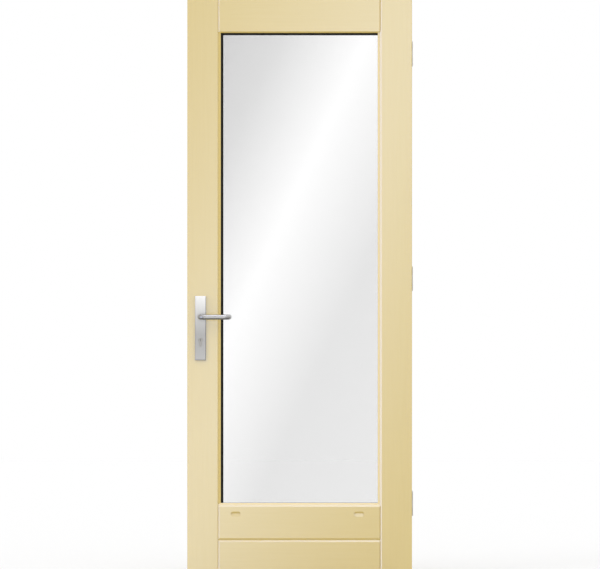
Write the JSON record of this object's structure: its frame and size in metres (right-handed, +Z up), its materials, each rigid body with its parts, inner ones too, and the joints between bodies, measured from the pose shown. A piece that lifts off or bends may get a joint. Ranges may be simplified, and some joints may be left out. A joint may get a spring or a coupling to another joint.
{
  "type": "glazed hardwood back door",
  "caption": "Painted hardwood outside door with one tall double-glazed light, V-jointed rails, a bent lever on long back plates, a keyed cylinder and butt hinges",
  "frame": {"origin": "on the back of the middle hinge's fixed flap, level with the middle of the door's thickness", "axes": "+X out of the hinge edge, -Y out of the outside face, +Z up"},
  "size_m": [0.8345, 0.1868, 2.115],
  "materials": {
    "painted_hardwood": "hardwood under pale straw satin paint",
    "glass": "clear float glass",
    "spacer": "black warm-edge spacer bar",
    "gasket": "matt black glazing gasket",
    "aluminium": "satin silver anodised",
    "steel": "brushed stainless steel",
    "nickel": "brass under satin nickel plating"
  },
  "bodies": {
    "frame_hinges": {"frame_flap_top": "steel", "hinge_pin_top": "steel", "frame_flap_middle": "steel", "hinge_pin_middle": "steel", "frame_flap_bottom": "steel", "hinge_pin_bottom": "steel"},
    "door": {"lock_stile": "painted_hardwood", "hinge_stile": "painted_hardwood", "top_rail": "painted_hardwood", "upper_bottom_rail": "painted_hardwood", "lower_bottom_rail": "painted_hardwood", "outside_bead_left": "painted_hardwood", "outside_bead_right": "painted_hardwood", "outside_bead_top": "painted_hardwood", "outside_bead_bottom": "painted_hardwood", "inside_bead_left": "painted_hardwood", "inside_bead_right": "painted_hardwood", "inside_bead_top": "painted_hardwood", "inside_bead_bottom": "painted_hardwood", "outer_pane": "glass", "inner_pane": "glass", "glazing_spacer": "spacer", "outer_gasket": "gasket", "inner_gasket": "gasket", "outside_plate": "aluminium", "inside_plate": "aluminium", "cylinder_body": "nickel", "outside_plug": "nickel", "inside_plug": "nickel", "lock_case": "steel", "forend": "steel", "latch_bolt": "nickel", "dead_bolt": "nickel", "door_flap_top": "steel", "door_flap_middle": "steel", "door_flap_bottom": "steel"},
    "handle": {"outside_lever": "aluminium", "inside_lever": "aluminium", "spindle": "steel"}
  },
  "joints": [
    {"name": "door_swing", "type": "hinge", "parent": "frame_hinges", "child": "door", "pos_m": [-0.006, 0.0335, 0], "axis": [0, 0, -1], "range_deg": [0, 110]},
    {"name": "lever_turn", "type": "hinge", "parent": "door", "child": "handle", "pos_m": [-0.7855, 0, -0.1415], "axis": [0, 1, 0], "range_deg": [0, 45], "stiffness_Nm_per_rad": 2, "springref_deg": -20.05}
  ]
}
